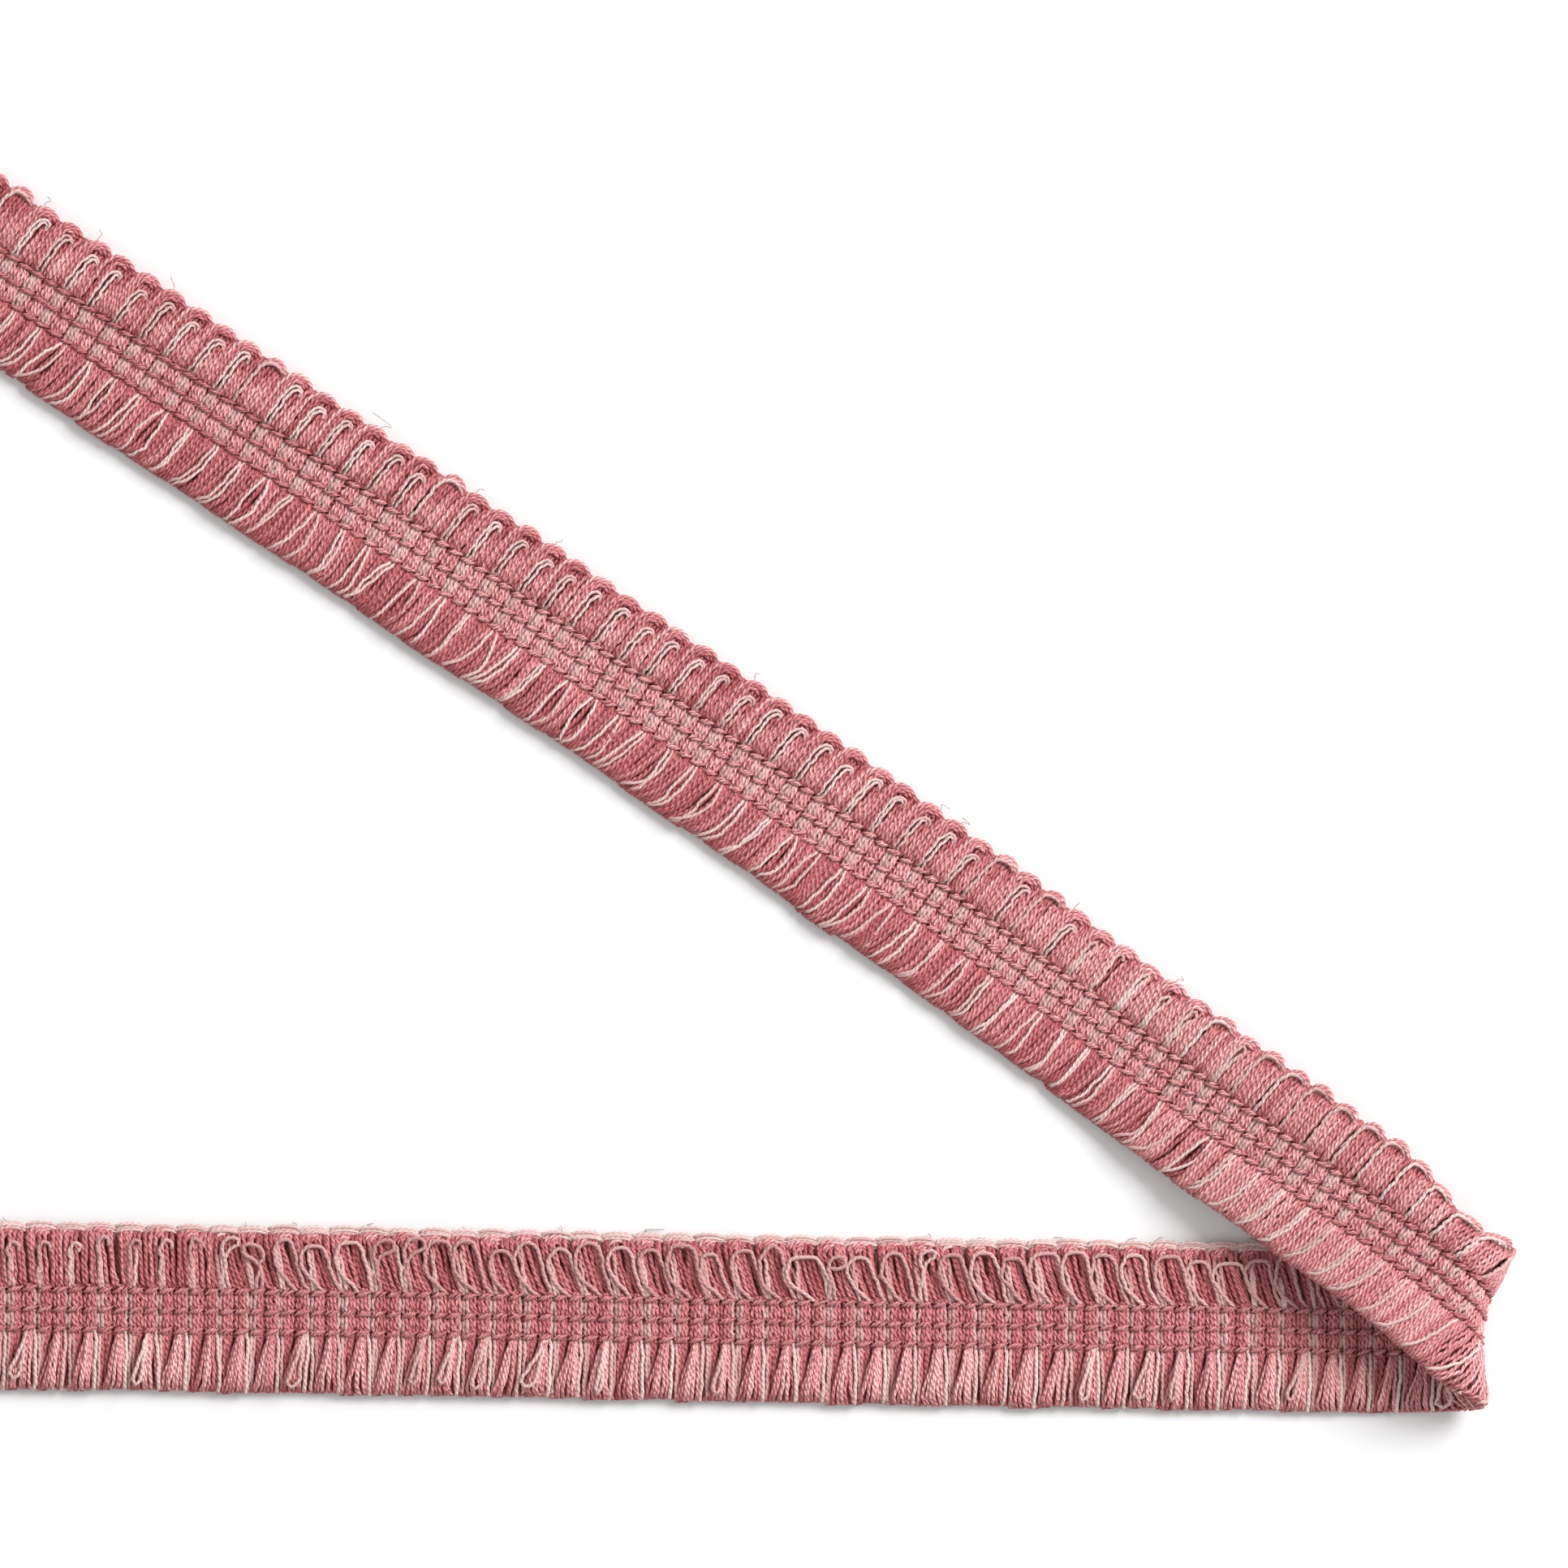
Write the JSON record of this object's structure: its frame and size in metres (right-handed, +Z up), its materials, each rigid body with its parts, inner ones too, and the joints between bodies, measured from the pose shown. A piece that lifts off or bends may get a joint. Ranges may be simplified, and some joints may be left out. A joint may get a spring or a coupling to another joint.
{
  "type": "passementerie trim",
  "caption": "Length of looped passementerie trim lying folded in a V, with a woven heading bound by raised warp rows, rounded loops along one edge and fanned loops along the other.",
  "frame": {"origin": "middle of the footprint, on the surface that the trim lies on", "axes": "+X along the lower leg towards the fold, +Y from the lower leg towards the upper leg, +Z up"},
  "size_m": [0.2879, 0.2187, 0.0163],
  "materials": {
    "heading": "glossy pink viscose and dull pale pink cotton yarns, tightly bound",
    "arch_loops": "glossy pink viscose yarns with dull pale pink cotton between them, in soft loops",
    "fan_loops": "dull pale pink cotton and glossy pink viscose yarns, in soft slanting loops"
  },
  "bodies": {
    "root": {"gimp_heading": "heading", "arch_loops_lower_leg": "arch_loops", "arch_loops_fold_under": "arch_loops", "arch_loops_fold_turn": "arch_loops", "arch_loops_fold_over": "arch_loops", "arch_loops_descent": "arch_loops", "arch_loops_upper_leg": "arch_loops", "fan_loops_lower_leg": "fan_loops", "fan_loops_fold_under": "fan_loops", "fan_loops_fold_turn": "fan_loops", "fan_loops_fold_over": "fan_loops", "fan_loops_descent": "fan_loops", "fan_loops_upper_leg": "fan_loops"}
  },
  "joints": []
}
